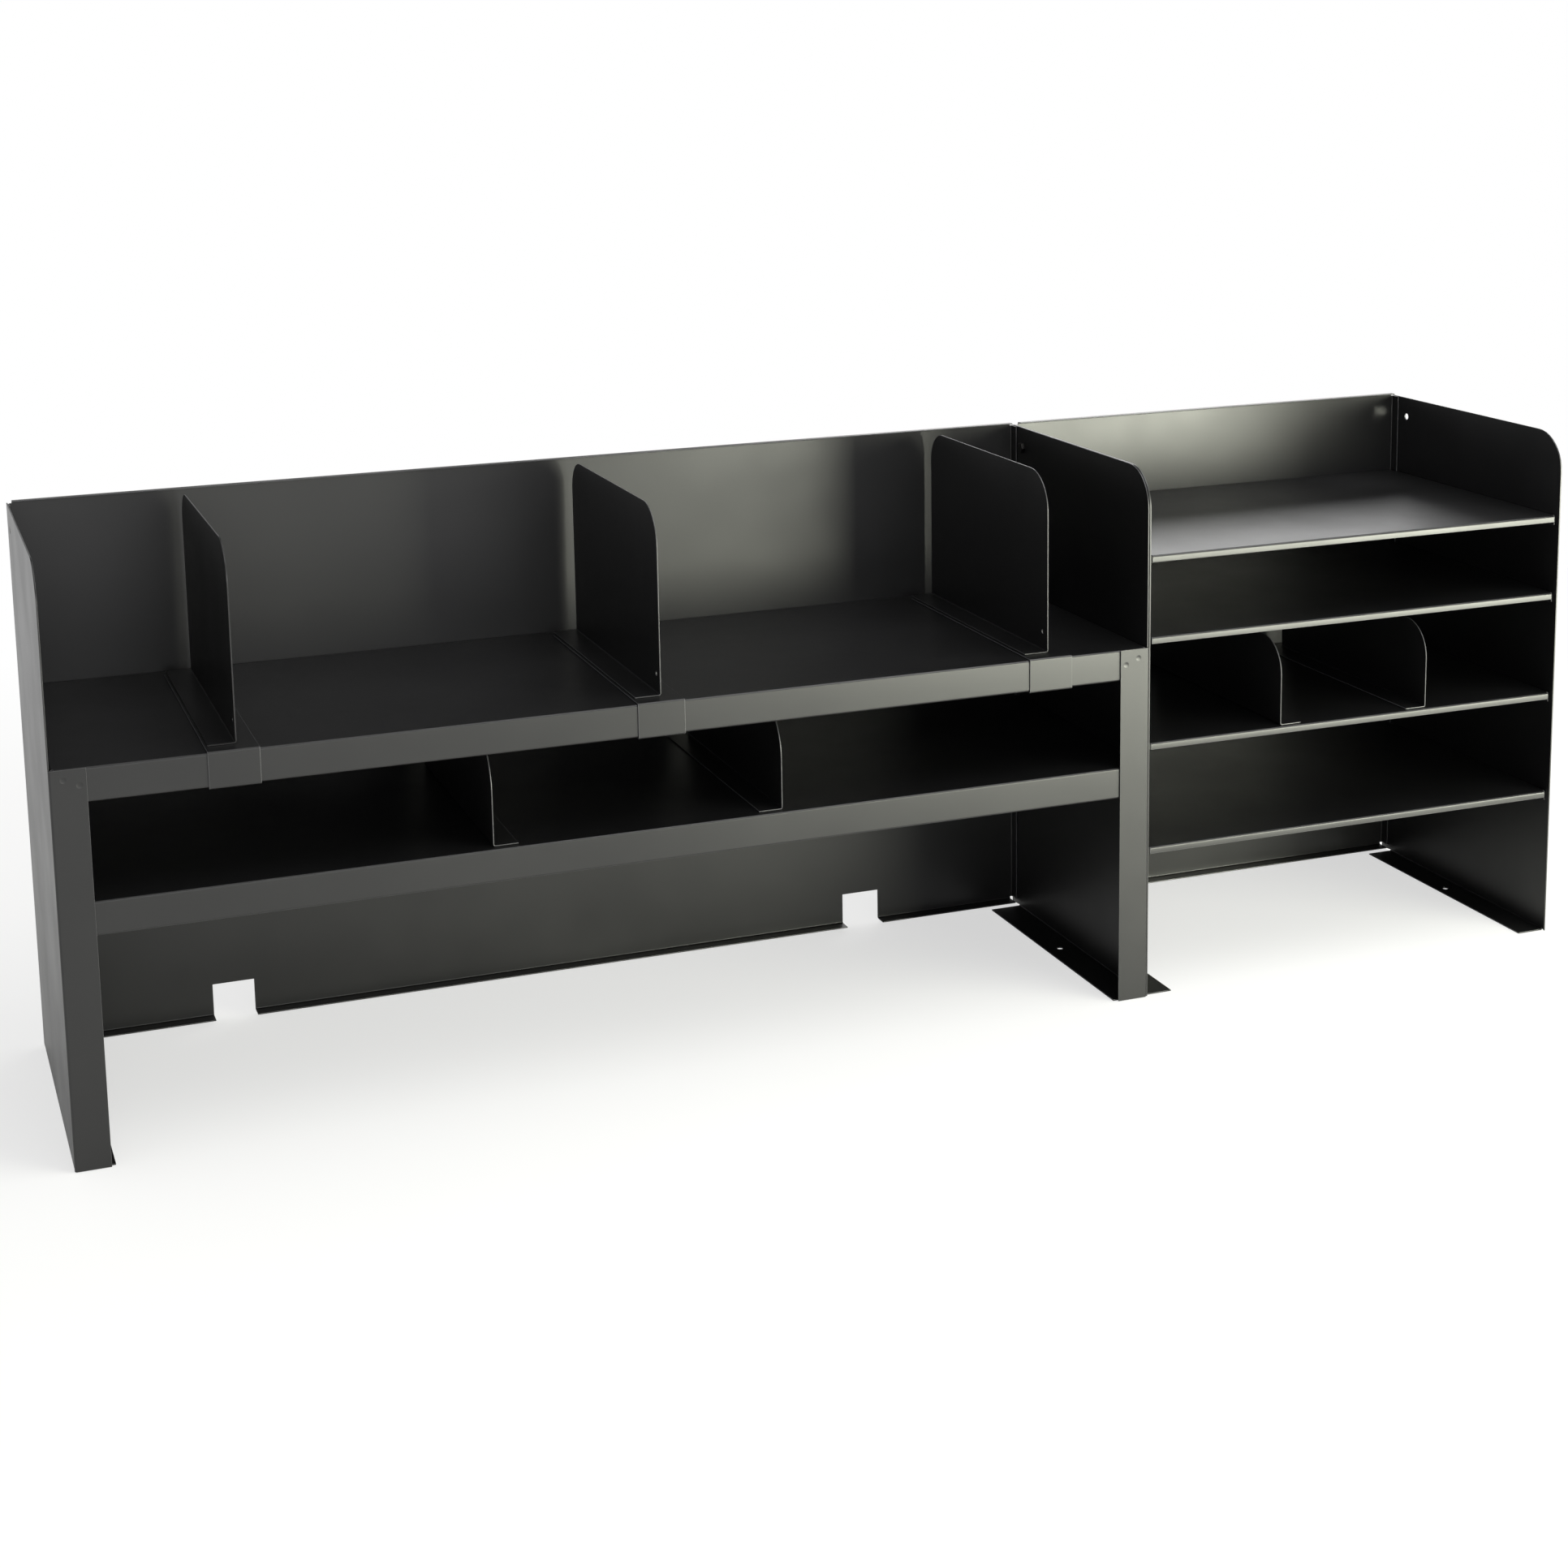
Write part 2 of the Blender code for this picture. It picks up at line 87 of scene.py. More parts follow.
class Slot(Enum):
    """Names of the material slots."""

    POWDER_COAT = "powder_coated_steel"
    FASTENER = "black_oxide_fastener"


class Carve(Enum):
    """What a tool does to the piece that it meets."""

    CUT = "DIFFERENCE"
    KEEP_COMMON = "INTERSECT"
    ADD = "UNION"


def linear(hex_colour: str) -> tuple[float, float, float, float]:
    """Turn an sRGB hex colour into linear RGBA.

    Args:
        hex_colour: Six hex digits after a hash sign.

    Returns:
        The linear red, green, blue and an alpha of one.
    """
    channels = [int(hex_colour[i:i + 2], 16) / 255 for i in (1, 3, 5)]
    bent = [c / 12.92 if c <= 0.04045 else ((c + 0.055) / 1.055) ** 2.4 for c in channels]
    return (bent[0], bent[1], bent[2], 1.0)


def per_mm(size: float) -> float:
    """Give the texture scale that makes one feature this many millimetres wide."""
    return 1.0 / (size * MM)


def add_node(
    tree: bpy.types.NodeTree,
    kind: str,
    settings: Optional[dict[object, object]] = None,
    links: Optional[dict[object, bpy.types.NodeSocket]] = None,
) -> bpy.types.Node:
    """Add one node with its settings and links.

    Args:
        tree: The node tree to add to.
        kind: Blender's name of the node type.
        settings: Values by attribute or input socket name; a number key names a socket by its place.
        links: Output sockets by the input socket that they feed.

    Returns:
        The new node.
    """
    node = tree.nodes.new(kind)
    for key, value in (settings or {}).items():
        if isinstance(key, str) and hasattr(node, key):
            setattr(node, key, value)
        else:
            node.inputs[key].default_value = value
    for key, socket in (links or {}).items():
        tree.links.new(socket, node.inputs[key])
    return node


def blank_material(name: str) -> bpy.types.Material:
    """Make a material with an empty node tree.

    Args:
        name: What to call it.

    Returns:
        The material.
    """
    made = bpy.data.materials.new(name)
    made.use_nodes = True
    made.node_tree.nodes.clear()
    return made


def shown_rays(tree: bpy.types.NodeTree) -> bpy.types.NodeSocket:
    """Add nodes that tell the rays which show the background from those that only light the object.

    Args:
        tree: The node tree to add to.

    Returns:
        A socket that is one for camera, glossy and transmission rays.
    """
    path = add_node(tree, "ShaderNodeLightPath")
    mirrored = add_node(tree, "ShaderNodeMath", {"operation": "MAXIMUM"},
                        {0: path.outputs["Is Glossy Ray"], 1: path.outputs["Is Transmission Ray"]})
    seen = add_node(tree, "ShaderNodeMath", {"operation": "MAXIMUM"},
                    {0: path.outputs["Is Camera Ray"], 1: mirrored.outputs[0]})
    return seen.outputs[0]


@dataclass(frozen=True)
class PowderCoat:
    """Black polyester powder coat baked on steel: a satin skin with faint orange peel.

    The melted powder leaves low swells about two millimetres wide, so a reflection keeps soft,
    slightly uneven edges. The coat is a little thinner along sheet edges, and the paler colour given
    there is a painted highlight.
    """

    name: str
    colour: str
    mottle: str
    roughness_low: float
    roughness_high: float
    specular: float
    index: float = 1.52
    mottle_mm: float = 90.0
    mottle_detail: float = 4.0
    grain_mm: float = 0.7
    grain_detail: float = 2.0
    grain_share: float = 0.5
    blend_low: float = 0.5
    blend_high: float = 1.0
    peel_mm: float = 2.2
    peel_detail: float = 1.0
    peel_strength: float = 0.05
    peel_height: float = 0.05 * MM

    def material(self) -> bpy.types.Material:
        """Build the node material.

        Returns:
            The material, made new.
        """
        made = blank_material(self.name)
        tree = made.node_tree
        place = add_node(tree, "ShaderNodeTexCoord").outputs["Object"]
        mottle = add_node(tree, "ShaderNodeTexNoise",
                          {"Scale": per_mm(self.mottle_mm), "Detail": self.mottle_detail},
                          {"Vector": place})
        colour = add_node(tree, "ShaderNodeMix",
                          {"data_type": "RGBA", MIX_FIRST: linear(self.colour),
                           MIX_SECOND: linear(self.mottle)},
                          {0: mottle.outputs["Fac"]})
        grain = add_node(tree, "ShaderNodeTexNoise",
                         {"Scale": per_mm(self.grain_mm), "Detail": self.grain_detail},
                         {"Vector": place})
        blend = add_node(tree, "ShaderNodeMath", {"operation": "MULTIPLY_ADD", 1: self.grain_share},
                         {0: grain.outputs["Fac"], 2: mottle.outputs["Fac"]})
        rough = add_node(tree, "ShaderNodeMapRange",
                         {"From Min": self.blend_low, "From Max": self.blend_high,
                          "To Min": self.roughness_low, "To Max": self.roughness_high},
                         {"Value": blend.outputs[0]})
        peel = add_node(tree, "ShaderNodeTexNoise",
                        {"Scale": per_mm(self.peel_mm), "Detail": self.peel_detail},
                        {"Vector": place})
        bump = add_node(tree, "ShaderNodeBump",
                        {"Strength": self.peel_strength, "Distance": self.peel_height},
                        {"Height": peel.outputs["Fac"]})
        shader = add_node(tree, "ShaderNodeBsdfPrincipled",
                          {"Metallic": 0.0, "IOR": self.index, "Specular IOR Level": self.specular},
                          {"Base Color": colour.outputs[MIX_RESULT], "Roughness": rough.outputs[0],
                           "Normal": bump.outputs[0]})
        add_node(tree, "ShaderNodeOutputMaterial", None, {"Surface": shader.outputs[0]})
        return made


@dataclass(frozen=True)
class BlackOxide:
    """Black oxide on a steel fastener: a dark metal skin, oily and uneven, rubbed paler in places."""

    name: str
    colour: str
    rubbed: str
    roughness_low: float = 0.30
    roughness_high: float = 0.48
    stain_mm: float = 3.0
    stain_detail: float = 5.0
    pit_strength: float = 0.1
    pit_depth: float = 0.05 * MM

    def material(self) -> bpy.types.Material:
        """Build the node material.

        Returns:
            The material, made new.
        """
        made = blank_material(self.name)
        tree = made.node_tree
        place = add_node(tree, "ShaderNodeTexCoord").outputs["Object"]
        stain = add_node(tree, "ShaderNodeTexNoise",
                         {"Scale": per_mm(self.stain_mm), "Detail": self.stain_detail},
                         {"Vector": place})
        colour = add_node(tree, "ShaderNodeMix",
                          {"data_type": "RGBA", MIX_FIRST: linear(self.colour),
                           MIX_SECOND: linear(self.rubbed)},
                          {0: stain.outputs["Fac"]})
        rough = add_node(tree, "ShaderNodeMapRange",
                         {"To Min": self.roughness_low, "To Max": self.roughness_high},
                         {"Value": stain.outputs["Fac"]})
        bump = add_node(tree, "ShaderNodeBump",
                        {"Strength": self.pit_strength, "Distance": self.pit_depth},
                        {"Height": stain.outputs["Fac"]})
        shader = add_node(tree, "ShaderNodeBsdfPrincipled", {"Metallic": 1.0},
                          {"Base Color": colour.outputs[MIX_RESULT], "Roughness": rough.outputs[0],
                           "Normal": bump.outputs[0]})
        add_node(tree, "ShaderNodeOutputMaterial", None, {"Surface": shader.outputs[0]})
        return made


@dataclass(frozen=True)
class PaleFloor:
    """A matt white studio table that runs out to a plain white background.

    For rays that show the background itself it glows: partly near the object, where its shadow
    stays as a soft grey, and fully further out, where it turns into the same white as the world.
    Mirrored near the object it glows less, so that low inner faces show the shadow they stand in.
    """

    name: str = "matt_white_table"
    colour: str = "#f4f4f2"
    stretch: tuple[float, float, float] = (0.7, 1.0, 0.0)
    near_glow: float = 0.6
    mirrored_glow: float = 0.15
    fade_start: float = 0.75
    fade_end: float = 1.8

    def material(self) -> bpy.types.Material:
        """Build the node material.

        Returns:
            The material, made new.
        """
        made = blank_material(self.name)
        tree = made.node_tree
        place = add_node(tree, "ShaderNodeTexCoord").outputs["Object"]
        flat = add_node(tree, "ShaderNodeVectorMath", {"operation": "MULTIPLY", 1: self.stretch},
                        {0: place})
        distance = add_node(tree, "ShaderNodeVectorMath", {"operation": "LENGTH"},
                            {0: flat.outputs[0]})
        mirrored = add_node(tree, "ShaderNodeLightPath").outputs["Is Glossy Ray"]
        near = add_node(tree, "ShaderNodeMapRange",
                        {"To Min": self.near_glow, "To Max": self.mirrored_glow},
                        {"Value": mirrored})
        fade = add_node(tree, "ShaderNodeMapRange",
                        {"interpolation_type": "SMOOTHSTEP", "From Min": self.fade_start,
                         "From Max": self.fade_end},
                        {"Value": distance.outputs["Value"], "To Min": near.outputs[0]})
        share = add_node(tree, "ShaderNodeMath", {"operation": "MULTIPLY"},
                         {0: fade.outputs[0], 1: shown_rays(tree)})
        table = add_node(tree, "ShaderNodeBsdfDiffuse", {"Color": linear(self.colour)})
        white = add_node(tree, "ShaderNodeEmission", {"Color": WHITE, "Strength": 1.0})
        mixed = add_node(tree, "ShaderNodeMixShader", None,
                         {0: share.outputs[0], 1: table.outputs[0], 2: white.outputs[0]})
        add_node(tree, "ShaderNodeOutputMaterial", None, {"Surface": mixed.outputs[0]})
        return made


# A deep satin black. What it mirrors shows softly, with edges that are slightly uneven.
COAT = PowderCoat("powder_coated_steel_satin_black", "#080809", "#0d0d0e", 0.34, 0.42, 0.55)
# The coat draws thin along cut edges. Their paler grey is a painted highlight that shows as fine grey
# lines.
EDGE_COAT_WITH_HIGHLIGHT = PowderCoat("powder_coated_steel_edges_with_painted_highlight", "#3a3a3c", "#4a4a4c", 0.34, 0.44, 0.6)
# A dark, dull metal that glints in patches where it has been rubbed.
OXIDE = BlackOxide("black_oxide_steel", "#2e2e30", "#5c5b58")


def take(piece: bpy.types.Object) -> None:
    """Make one object the only selected and the active one.

    Args:
        piece: The object to take.
    """
    bpy.ops.object.select_all(action="DESELECT")
    piece.select_set(True)
    bpy.context.view_layer.objects.active = piece


@contextmanager
def editing(piece: bpy.types.Object) -> Iterator[None]:
    """Open an object in edit mode with its whole mesh selected, and close it again.

    Args:
        piece: The object to edit.
    """
    take(piece)
    bpy.ops.object.mode_set(mode="EDIT")
    bpy.ops.mesh.select_all(action="SELECT")
    yield
    bpy.ops.object.mode_set(mode="OBJECT")


def pick_faces(piece: bpy.types.Object, test: Callable[[Vector, Vector], bool]) -> None:
    """Select the faces of the mesh in edit mode that pass a test.

    Args:
        piece: The object in edit mode.
        test: Takes a face's middle and normal.
    """
    bpy.ops.mesh.select_mode(type="FACE")
    shape = bmesh.from_edit_mesh(piece.data)
    for face in shape.faces:
        face.select_set(test(face.calc_center_median(), face.normal))
    bmesh.update_edit_mesh(piece.data)


def settle(piece: bpy.types.Object, name: str) -> bpy.types.Object:
    """Name a new object and move its place and turn into its mesh.

    Args:
        piece: The object, just added.
        name: What to call it.

    Returns:
        The same object.
    """
    piece.name = name
    take(piece)
    bpy.ops.object.transform_apply(location=True, rotation=True, scale=True)
    return piece


def carve(piece: bpy.types.Object, tool: bpy.types.Object, how: Carve) -> None:
    """Shape a piece with a tool, which is used up.

    Args:
        piece: The object to shape.
        tool: A closed mesh in the same frame.
        how: Whether the tool's room is cut away, all that is kept, or added.
    """
    take(piece)
    change = piece.modifiers.new("carve", "BOOLEAN")
    change.operation = how.value
    change.solver = "EXACT"
    change.object = tool
    bpy.ops.object.modifier_apply(modifier=change.name)
    bpy.data.objects.remove(tool, do_unlink=True)


def finish_mesh(piece: bpy.types.Object, width: float, smooth_angle: float,
                edge_slot: int = NEIGHBOUR_SLOT) -> None:
    """Round the sharp edges of a piece and shade it smooth with level flats.

    Args:
        piece: The object to finish.
        width: How wide the rounding of an edge is.
        smooth_angle: The angle in degrees from which an edge is rounded and stays sharp in shading.
        edge_slot: The material slot that the rounded edges take.
    """
    take(piece)
    rounding = piece.modifiers.new("edge_round", "BEVEL")
    rounding.width = width
    rounding.segments = ROUND_SEGMENTS
    rounding.limit_method = "ANGLE"
    rounding.angle_limit = math.radians(smooth_angle)
    rounding.material = edge_slot
    rounding.use_clamp_overlap = True
    bpy.ops.object.modifier_apply(modifier=rounding.name)
    with editing(piece):
        bpy.ops.mesh.remove_doubles(threshold=SLIVER)
        bpy.ops.mesh.dissolve_degenerate(threshold=SLIVER)
    bpy.ops.object.shade_smooth_by_angle(angle=math.radians(smooth_angle))
    level = piece.modifiers.new("level_flats", "WEIGHTED_NORMAL")
    level.keep_sharp = True
    bpy.ops.object.modifier_apply(modifier=level.name)


def coat(piece: bpy.types.Object, finishes: Sequence[bpy.types.Material]) -> None:
    """Give a piece its material slots.

    Args:
        piece: The object to coat.
        finishes: The materials in the order of their slots.
    """
    piece.data.materials.clear()
    for finish in finishes:
        piece.data.materials.append(finish)


def stand_for(piece: bpy.types.Object, node: str, body: str) -> None:
    """Put a dressed piece in the place of its plain solid.

    Args:
        piece: The dressed piece.
        node: The solid's name.
        body: The body that carries it.
    """
    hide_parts(node)
    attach(piece, body)
    LOG.info("%s stands for %s and rides on %s", piece.name, node, body)


@dataclass
class Paintshop:
    """The finishes, made once and shared by the pieces."""

    coat: bpy.types.Material
    edge: bpy.types.Material
    oxide: bpy.types.Material

    @classmethod
    def open(cls) -> "Paintshop":
        """Make every finish."""
        return cls(COAT.material(), EDGE_COAT_WITH_HIGHLIGHT.material(), OXIDE.material())


@dataclass
class SheetAssembly:
    """Folded and coated sheets of one body, each of which stands for its plain solid."""

    body: str
    nodes: tuple[str, ...]
    edge_round: float = 0.42 * MM
    merge_distance: float = 0.01 * MM
    flat_angle: float = 0.5
    edge_angle: float = 40.0
    pieces: dict[str, bpy.types.Object] = field(default_factory=dict)

    def build(self, solids: dict[str, bpy.types.Object]) -> None:
        """Copy each solid and merge its triangles into whole faces.

        Args:
            solids: The plain solids by name.
        """
        for node in self.nodes:
            piece = bpy.data.objects.new(node + "_coated", solids[node].data.copy())
            bpy.context.scene.collection.objects.link(piece)
            with editing(piece):
                bpy.ops.mesh.remove_doubles(threshold=self.merge_distance)
                bpy.ops.mesh.customdata_custom_splitnormals_clear()
                bpy.ops.mesh.dissolve_limited(angle_limit=math.radians(self.flat_angle))
            self.pieces[node] = piece

    def dress(self, shop: Paintshop) -> None:
        """Round the sheet edges, coat the sheets and put them in their solids' places.

        Args:
            shop: The finishes.
        """
        for node, piece in self.pieces.items():
            coat(piece, (shop.coat, shop.edge))
            # The rounded edges take the paler edge coat, a painted highlight along every sheet edge.
            finish_mesh(piece, self.edge_round, self.edge_angle, EDGE_HIGHLIGHT_SLOT)
            stand_for(piece, node, self.body)


@dataclass
class ShelfUnit(SheetAssembly):
    """The raised shelf unit: two posts with rounded wings, a back, two shelves and two dividers."""

    body: str = FRAME_BODY
    nodes: tuple[str, ...] = (
        "shelf_unit_left_panel", "shelf_unit_right_panel", "shelf_unit_back_panel",
        "upper_shelf", "lower_shelf", "lower_divider_1", "lower_divider_2",
    )
    weld_width: float = 5.6 * MM
    weld_depth: float = 0.32 * MM
    upper_weld_from_edge: float = 11.5 * MM
    upper_weld_down: float = 8.7 * MM
    lower_weld_from_edge: float = 24.2 * MM
    lower_weld_down: float = 14.1 * MM
    tip_segments: int = 160
    tip_rings: int = 80

    def build(self, solids: dict[str, bpy.types.Object]) -> None:
        """Copy the solids and press the spot welds into both posts.

        Args:
            solids: The plain solids by name.
        """
        super().build(solids)
        tip = self.weld_tip()
        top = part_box("upper_shelf")[1].z
        for node, inward in (("shelf_unit_left_panel", 1), ("shelf_unit_right_panel", -1)):
            low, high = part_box(node)
            edge = low.x if inward > 0 else high.x
            for across, down in ((self.upper_weld_from_edge, self.upper_weld_down),
                                 (self.lower_weld_from_edge, self.lower_weld_down)):
                press = bpy.data.objects.new("weld_press", tip.data.copy())
                bpy.context.scene.collection.objects.link(press)
                press.location = (edge + inward * across, low.y, top - down)
                carve(self.pieces[node], settle(press, press.name), Carve.CUT)
        bpy.data.objects.remove(tip, do_unlink=True)

    def weld_tip(self) -> bpy.types.Object:
        """Model the round electrode tip that presses a shallow dimple into a face at the origin.

        Returns:
            The tip, in front of the origin.
        """
        half = self.weld_width / 2
        radius = (half ** 2 + self.weld_depth ** 2) / (2 * self.weld_depth)
        bpy.ops.object.select_all(action="DESELECT")
        bpy.ops.mesh.primitive_uv_sphere_add(segments=self.tip_segments, ring_count=self.tip_rings,
                                             radius=radius,
                                             location=(0.0, self.weld_depth - radius, 0.0))
        return settle(bpy.context.object, "weld_tip")


@dataclass
class TrayUnit(SheetAssembly):
    """The letter tray unit: two sides, a back, four trays and two dividers on the third tray."""

    body: str = FRAME_BODY
    nodes: tuple[str, ...] = (
        "tray_unit_left_panel", "tray_unit_right_panel", "tray_unit_back_panel",
        "letter_tray_1", "letter_tray_2", "letter_tray_3", "letter_tray_4",
        "tray_divider_1", "tray_divider_2",
    )


@dataclass
class SlidingDivider(SheetAssembly):
    """One divider of the upper shelf: a clip base round the shelf's lip and the blade on it."""

    @classmethod
    def numbered(cls, number: int) -> "SlidingDivider":
        """Name the sheets and the body of one divider, counted from the left."""
        return cls(f"divider_{number}", (f"divider_base_{number}", f"divider_blade_{number}"))


@dataclass
class GangingBolt:
    """The hex bolt and nut that hold the two units together through their side panels."""

    bolt_node: str = "ganging_bolt"
    nut_node: str = "ganging_nut"
    body: str = FRAME_BODY
    head_thick: float = 4.0 * MM
    across_flats: float = 10.0 * MM
    hex_sides: int = 6
    chamfer_share: float = 0.95
    chamfer_slope: float = math.radians(30.0)
    washer_face: float = 0.4 * MM
    washer_share: float = 0.96
    shank: float = 6.0 * MM
    thread_pitch: float = 1.0 * MM
    thread_depth: float = 0.45 * MM
    tip_chamfer: float = 0.5 * MM
    end_facing: float = 0.9
    bore: float = 6.5 * MM
    bore_overrun: float = 1.0 * MM
    edge_round: float = 0.12 * MM
    edge_angle: float = 25.0
    round_sides: int = 40
    pieces: dict[str, bpy.types.Object] = field(default_factory=dict)

    def rod(self, name: str, radius: float, start: Vector, length: float,
            sides: int) -> bpy.types.Object:
        """Add a rod or prism along X.

        Args:
            name: What to call it.
            radius: Its radius, at the corners of a prism.
            start: The middle of its left end.
            length: How far it runs to the right.
            sides: How many sides it has.

        Returns:
            The rod.
        """
        bpy.ops.object.select_all(action="DESELECT")
        middle = start + Vector((length / 2, 0.0, 0.0))
        bpy.ops.mesh.primitive_cylinder_add(vertices=sides, radius=radius, depth=length,
                                            location=middle, rotation=(0.0, math.pi / 2, 0.0))
        return settle(bpy.context.object, name)

    def hex_blank(self, node: str, start: Vector, thick: float) -> bpy.types.Object:
        """Add the plain hex from which a bolt's head or a nut is made.

        Args:
            node: The name of the solid that it will stand for.
            start: The middle of its left face.
            thick: How thick it is.

        Returns:
            The hex.
        """
        corner = self.across_flats / 2 / math.cos(math.pi / self.hex_sides)
        return self.rod(node + "_blackened", corner, start, thick, self.hex_sides)

    def chamfer(self, piece: bpy.types.Object, face: Vector, inward: int, depth: float) -> None:
        """Turn off the corners of a hex at one face, which leaves the usual curved edges.

        Args:
            piece: The hex.
            face: The middle of the face.
            inward: The sign of the X direction from the face into the hex.
            depth: How thick the hex is.
        """
        flat = self.across_flats / 2 * self.chamfer_share
        wide = flat + depth / math.tan(self.chamfer_slope)
        bpy.ops.object.select_all(action="DESELECT")
        middle = face + Vector((inward * depth / 2, 0.0, 0.0))
        bpy.ops.mesh.primitive_cone_add(vertices=self.round_sides, radius1=wide, radius2=flat,
                                        depth=depth, location=middle,
                                        rotation=(0.0, -inward * math.pi / 2, 0.0))
        carve(piece, settle(bpy.context.object, "chamfer_tool"), Carve.KEEP_COMMON)

    def build_bolt(self, start: Vector, end: float) -> bpy.types.Object:
        """Model the bolt: a chamfered head, a washer face, a plain shank and a threaded tail.

        Args:
            start: The middle of the head's outer face.
            end: Where the tail ends on X.

        Returns:
            The bolt.
        """
        hex_thick = self.head_thick - self.washer_face
        bolt = self.hex_blank(self.bolt_node, start, hex_thick)
        self.chamfer(bolt, start, 1, hex_thick)
        root = start + Vector((hex_thick / 2, 0.0, 0.0))
        seat = start.x + self.head_thick
        washer = self.rod("bolt_washer_face", self.across_flats / 2 * self.washer_share, root,
                          seat - root.x, self.round_sides)
        carve(bolt, washer, Carve.ADD)
        turns = int((end - seat) / self.thread_pitch) - 1
        thread_start = end - turns * self.thread_pitch - self.tip_chamfer
        shank = self.rod("bolt_shank", self.shank / 2, root, thread_start - root.x, self.round_sides)
        self.thread(shank, turns)
        carve(bolt, shank, Carve.ADD)
        return bolt

    def thread(self, shank: bpy.types.Object, turns: int) -> None:
        """Grow the ridges of a thread and a chamfered tip from the right end of the shank.

        Args:
            shank: The plain shank.
            turns: How many ridges to grow.
        """
        narrow = (self.shank / 2 - self.thread_depth) / (self.shank / 2)
        half_pitch = self.thread_pitch / 2
        ridge = [(half_pitch, narrow), (half_pitch, 1 / narrow)]
        with editing(shank):
            pick_faces(shank, lambda middle, normal: normal.x > self.end_facing)
            for forward, scale in ridge * turns + [(self.tip_chamfer, narrow)]:
                bpy.ops.mesh.extrude_region_move(TRANSFORM_OT_translate={"value": (forward, 0.0, 0.0)})
                bpy.ops.transform.resize(value=(1.0, scale, scale))

    def build_nut(self, start: Vector, thick: float) -> bpy.types.Object:
        """Model the nut: a hex, chamfered on both faces, with a bore.

        Args:
            start: The middle of its left face.
            thick: How thick it is.

        Returns:
            The nut.
        """
        nut = self.hex_blank(self.nut_node, start, thick)
        self.chamfer(nut, start, 1, thick)
        self.chamfer(nut, start + Vector((thick, 0.0, 0.0)), -1, thick)
        bore_start = start - Vector((self.bore_overrun, 0.0, 0.0))
        bore = self.rod("nut_bore", self.bore / 2, bore_start, thick + 2 * self.bore_overrun,
                        self.round_sides)
        carve(nut, bore, Carve.CUT)
        return nut

    def build(self) -> None:
        """Model both pieces at the places of their solids."""
        low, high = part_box(self.bolt_node)
        middle = (low + high) / 2
        self.pieces[self.bolt_node] = self.build_bolt(Vector((low.x, middle.y, middle.z)), high.x)
        low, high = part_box(self.nut_node)
        self.pieces[self.nut_node] = self.build_nut(Vector((low.x, middle.y, middle.z)),
                                                    high.x - low.x)

    def dress(self, shop: Paintshop) -> None:
        """Blacken both pieces and put them in their solids' places.

        Args:
            shop: The finishes.
        """
        for node, piece in self.pieces.items():
            coat(piece, (shop.oxide,))
            finish_mesh(piece, self.edge_round, self.edge_angle)
            stand_for(piece, node, self.body)


@dataclass(frozen=True)
class SoftLight:
    """One soft box: an area lamp that looks at a point of the object."""

    name: str
    place: tuple[float, float, float]
    aim: tuple[float, float, float]
    width: float
    height: float
    power: float
    colour: str = "#ffffff"

    def build(self) -> bpy.types.Object:
        """Add the lamp.

        Returns:
            The lamp's object.
        """
        data = bpy.data.lights.new(self.name, "AREA")
        data.shape = "RECTANGLE"
        data.size = self.width
        data.size_y = self.height
        data.energy = self.power
        data.color = linear(self.colour)[:3]
        lamp = bpy.data.objects.new(self.name, data)
        lamp.visible_camera = False
        lamp.location = self.place
        toward = Vector(self.aim) - Vector(self.place)
        lamp.rotation_euler = toward.to_track_quat("-Z", "Y").to_euler()
        bpy.context.scene.collection.objects.link(lamp)
        return lamp


@dataclass(frozen=True)
class Viewpoint:
    """The photograph's viewpoint: a shift lens to the left of the sorter, a little above it."""

    place: tuple[float, float, float] = (-0.8645, -2.2325, 0.938)
    turn_right: float = 20.331
    look_down: float = 10.14
    roll: float = -0.951
    lens: float = 59.465
    shift_up: float = 0.2

    def build(self) -> bpy.types.Object:
        """Add the camera and make it the scene's own.

        Returns:
            The camera's object.
        """
        data = bpy.data.cameras.new("photo_view")
        data.sensor_fit = "HORIZONTAL"
        data.sensor_width = SENSOR_WIDTH
        data.lens = self.lens
        data.shift_y = -self.shift_up
        data.dof.use_dof = False
        camera = bpy.data.objects.new("photo_view", data)
        turn = Matrix.Rotation(math.radians(-self.turn_right), 4, "Z")
        tilt = Matrix.Rotation(math.radians(90.0 - self.look_down), 4, "X")
        roll = Matrix.Rotation(math.radians(self.roll), 4, "Z")
        camera.matrix_world = Matrix.Translation(self.place) @ turn @ tilt @ roll
        bpy.context.scene.collection.objects.link(camera)
        bpy.context.scene.camera = camera
        return camera


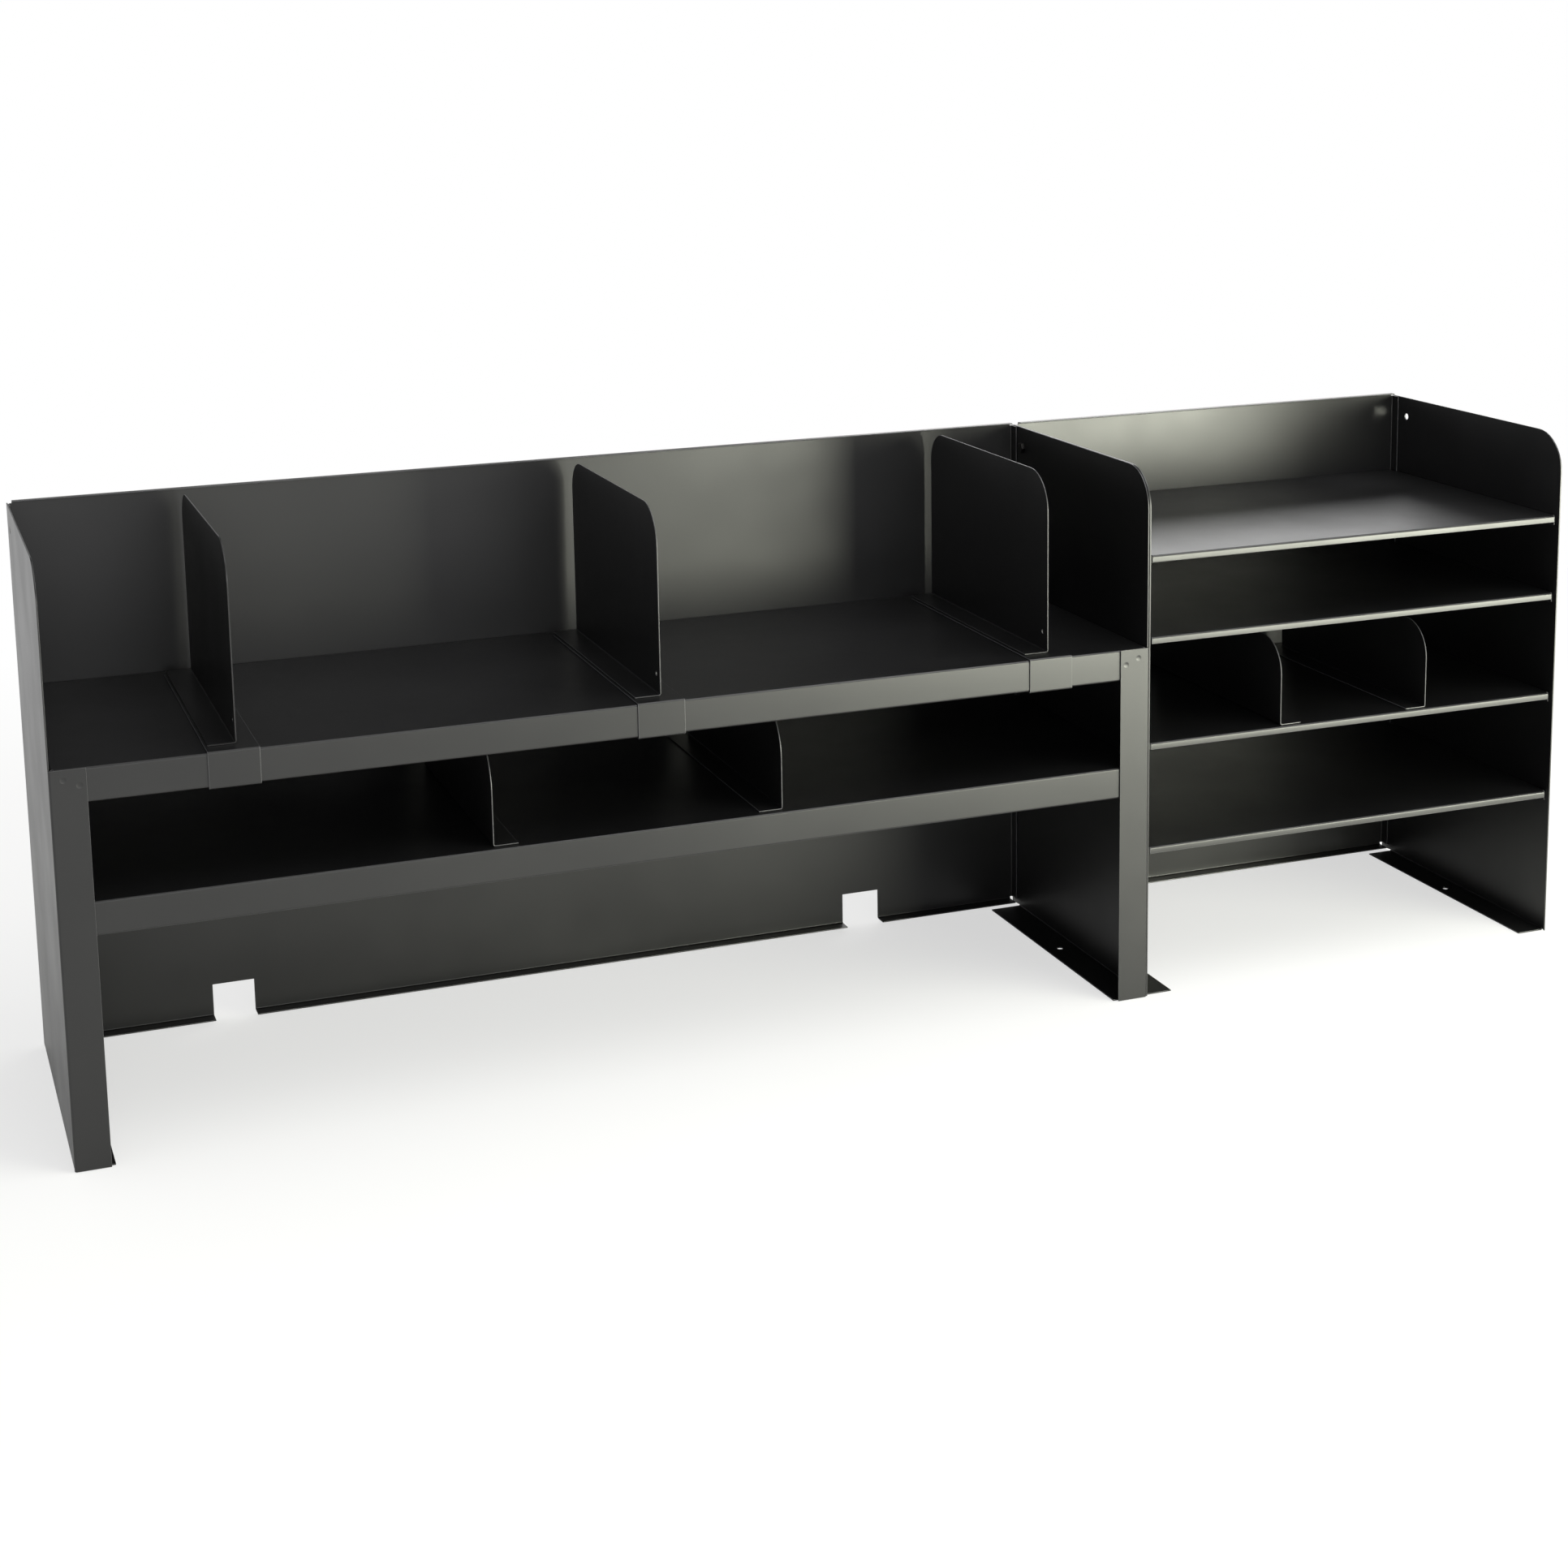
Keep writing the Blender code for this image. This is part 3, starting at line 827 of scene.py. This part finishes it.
@dataclass
class Studio:
    """A white table, soft boxes, a white sweep with a dark wall above it, and a white ceiling.

    The wall is what level faces mirror towards the front, so the shelves stay black from there. The
    edges of the sweep, the wall and the ceiling are given in degrees above the horizon.
    """

    floor_radius: float = 9.0
    floor_sides: int = 96
    surround_light: float = 0.65
    wall_light: float = 0.02
    white_light: float = 1.0
    sweep_top: float = 11.0
    wall_foot: float = 21.0
    wall_top: float = 45.0
    ceiling_edge: float = 62.0
    lamps: tuple[SoftLight, ...] = (
        SoftLight("front_right_box", (1.95, -1.85, 0.62), (0.48, -0.1, 0.3), 1.3, 1.0, 40.0, "#fbfdea"),
        SoftLight("low_front_box", (1.3, -1.5, 0.25), (0.4, -0.1, 0.3), 1.5, 0.44, 47.0, "#fbfdea"),
        SoftLight("overhead_box", (1.0, -0.75, 2.3), (0.2, -0.1, 0.3), 2.4, 1.4, 34.0),
        SoftLight("left_box", (-2.4, 0.2, 0.9), (-0.7, 0.0, 0.3), 1.2, 1.2, 2.0, "#f2f6ff"),
        SoftLight("front_fill_box", (-0.5, -2.6, 1.1), (0.0, 0.0, 0.05), 1.8, 0.9, 16.0),
        SoftLight("rear_box", (1.6, 2.4, 1.55), (0.35, 0.0, 0.43), 1.2, 0.8, 14.0),
    )

    def build_floor(self) -> bpy.types.Object:
        """Lay the table under the object's feet.

        Returns:
            The table.
        """
        bpy.ops.object.select_all(action="DESELECT")
        bpy.ops.mesh.primitive_circle_add(vertices=self.floor_sides, radius=self.floor_radius,
                                          fill_type="NGON")
        floor = bpy.context.object
        floor.name = "white_table"
        floor.data.materials.append(PaleFloor().material())
        return floor

    def build_surround(self) -> bpy.types.World:
        """Make the world: white with a dark wall where it is seen, and a soft fill where it lights.

        Returns:
            The world, now the scene's own.
        """
        world = bpy.data.worlds.new("white_surround")
        world.use_nodes = True
        tree = world.node_tree
        tree.nodes.clear()
        way = add_node(tree, "ShaderNodeTexCoord").outputs["Generated"]
        height = add_node(tree, "ShaderNodeSeparateXYZ", None, {0: way}).outputs["Z"]
        sweep_and_ceiling = []
        for start, start_light, end, end_light in (
            (self.sweep_top, self.white_light, self.wall_foot, self.wall_light),
            (self.wall_top, self.wall_light, self.ceiling_edge, self.white_light),
        ):
            step = add_node(tree, "ShaderNodeMapRange",
                            {"interpolation_type": "SMOOTHSTEP",
                             "From Min": math.sin(math.radians(start)), "To Min": start_light,
                             "From Max": math.sin(math.radians(end)), "To Max": end_light},
                            {"Value": height})
            sweep_and_ceiling.append(step.outputs[0])
        around = add_node(tree, "ShaderNodeMath", {"operation": "MAXIMUM"},
                          dict(enumerate(sweep_and_ceiling)))
        strength = add_node(tree, "ShaderNodeMapRange", {"To Min": self.surround_light},
                            {"Value": shown_rays(tree), "To Max": around.outputs[0]})
        white = add_node(tree, "ShaderNodeBackground", {"Color": WHITE},
                         {"Strength": strength.outputs[0]})
        add_node(tree, "ShaderNodeOutputWorld", None, {"Surface": white.outputs[0]})
        bpy.context.scene.world = world
        return world

    def build(self) -> None:
        """Set up the floor, the surround, the lamps and the view transform."""
        self.build_floor()
        self.build_surround()
        for lamp in self.lamps:
            lamp.build()
        bpy.context.scene.view_settings.view_transform = "Standard"


def main() -> None:
    """Load the frame, build and dress every sub-assembly, and set up the studio."""
    logging.basicConfig(level=logging.INFO, format="%(name)s: %(message)s")
    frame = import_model()
    shop = Paintshop.open()
    dividers = [SlidingDivider.numbered(number) for number in DIVIDER_NUMBERS]
    for assembly in (ShelfUnit(), *dividers, TrayUnit()):
        assembly.build(frame["nodes"])
        assembly.dress(shop)
    bolt = GangingBolt()
    bolt.build()
    bolt.dress(shop)
    Studio().build()
    Viewpoint().build()


if __name__ == "__main__":
    main()
